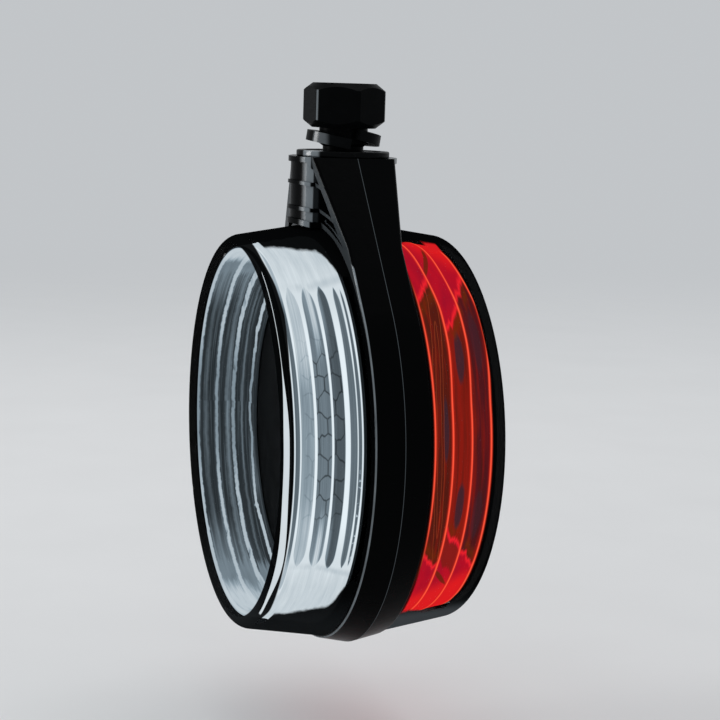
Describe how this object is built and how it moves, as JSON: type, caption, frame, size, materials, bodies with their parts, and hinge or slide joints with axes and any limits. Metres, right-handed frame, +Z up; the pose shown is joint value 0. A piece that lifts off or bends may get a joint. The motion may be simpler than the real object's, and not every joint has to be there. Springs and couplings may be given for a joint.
{
  "type": "marker lamp",
  "caption": "Round double-faced marker lamp, lit white on one side and red on the other, whose one housing ring hangs by its neck from a hollow threaded stud with nut and spring washer.",
  "frame": {"origin": "on the stud's axis, in the plane of the stud flange that seats on the bracket", "axes": "+Z up along the stud, -Y the way the white light faces, +Y the way the red light faces"},
  "size_m": [0.1062, 0.0538, 0.1386],
  "materials": {
    "housing_black": "gloss",
    "seal_rubber": "matt",
    "stud_black": "gloss",
    "nut_black": "gloss",
    "washer_black": "gloss",
    "lens_clear": "gloss",
    "guide_clear": "gloss",
    "guide_red": "gloss",
    "cover_dark": "satin",
    "led_board_white": "matt",
    "led_white": "satin",
    "led_red": "satin",
    "resistor_black": "satin",
    "driver_board_green": "satin",
    "terminal_grey": "matt",
    "coil_grey": "matt",
    "capacitor_tan": "satin",
    "chip_black": "matt",
    "screw_zinc": "satin",
    "pin_brass": "satin"
  },
  "bodies": {
    "lamp": {"front_housing": "housing_black", "rear_housing": "housing_black", "housing_seal": "seal_rubber", "hollow_stud": "stud_black", "cable_grommet": "seal_rubber", "front_lens": "lens_clear", "rear_lens": "lens_clear", "front_lens_seal": "seal_rubber", "rear_lens_seal": "seal_rubber", "front_light_guide": "guide_clear", "rear_light_guide": "guide_red", "front_centre_cover": "cover_dark", "rear_centre_cover": "cover_dark", "front_led_board": "led_board_white", "rear_led_board": "led_board_white", "front_leds": "led_white", "rear_leds": "led_red", "front_resistors": "resistor_black", "rear_resistors": "resistor_black", "driver_board": "driver_board_green", "supply_terminal": "terminal_grey", "driver_coil": "coil_grey", "driver_capacitors": "capacitor_tan", "driver_chips": "chip_black", "housing_screws": "screw_zinc", "led_board_screws": "screw_zinc", "driver_board_screws": "screw_zinc", "front_link_pins": "pin_brass", "rear_link_pins": "pin_brass"},
    "washer": {"spring_washer": "washer_black"},
    "nut": {"hex_nut": "nut_black"}
  },
  "joints": [
    {"name": "nut_travel", "type": "slide", "parent": "lamp", "child": "washer", "axis": [0, 0, 1], "range_m": [-0.0005, 0.0105]},
    {"name": "nut_turn", "type": "hinge", "parent": "washer", "child": "nut", "pos_m": [0, 0, 0.01], "axis": [0, 0, 1], "range_deg": [-103.36, 2160.5]}
  ],
  "couplings": [
    {"joint": "nut_turn", "follows": "nut_travel", "rad_per_m": 3590.4}
  ]
}
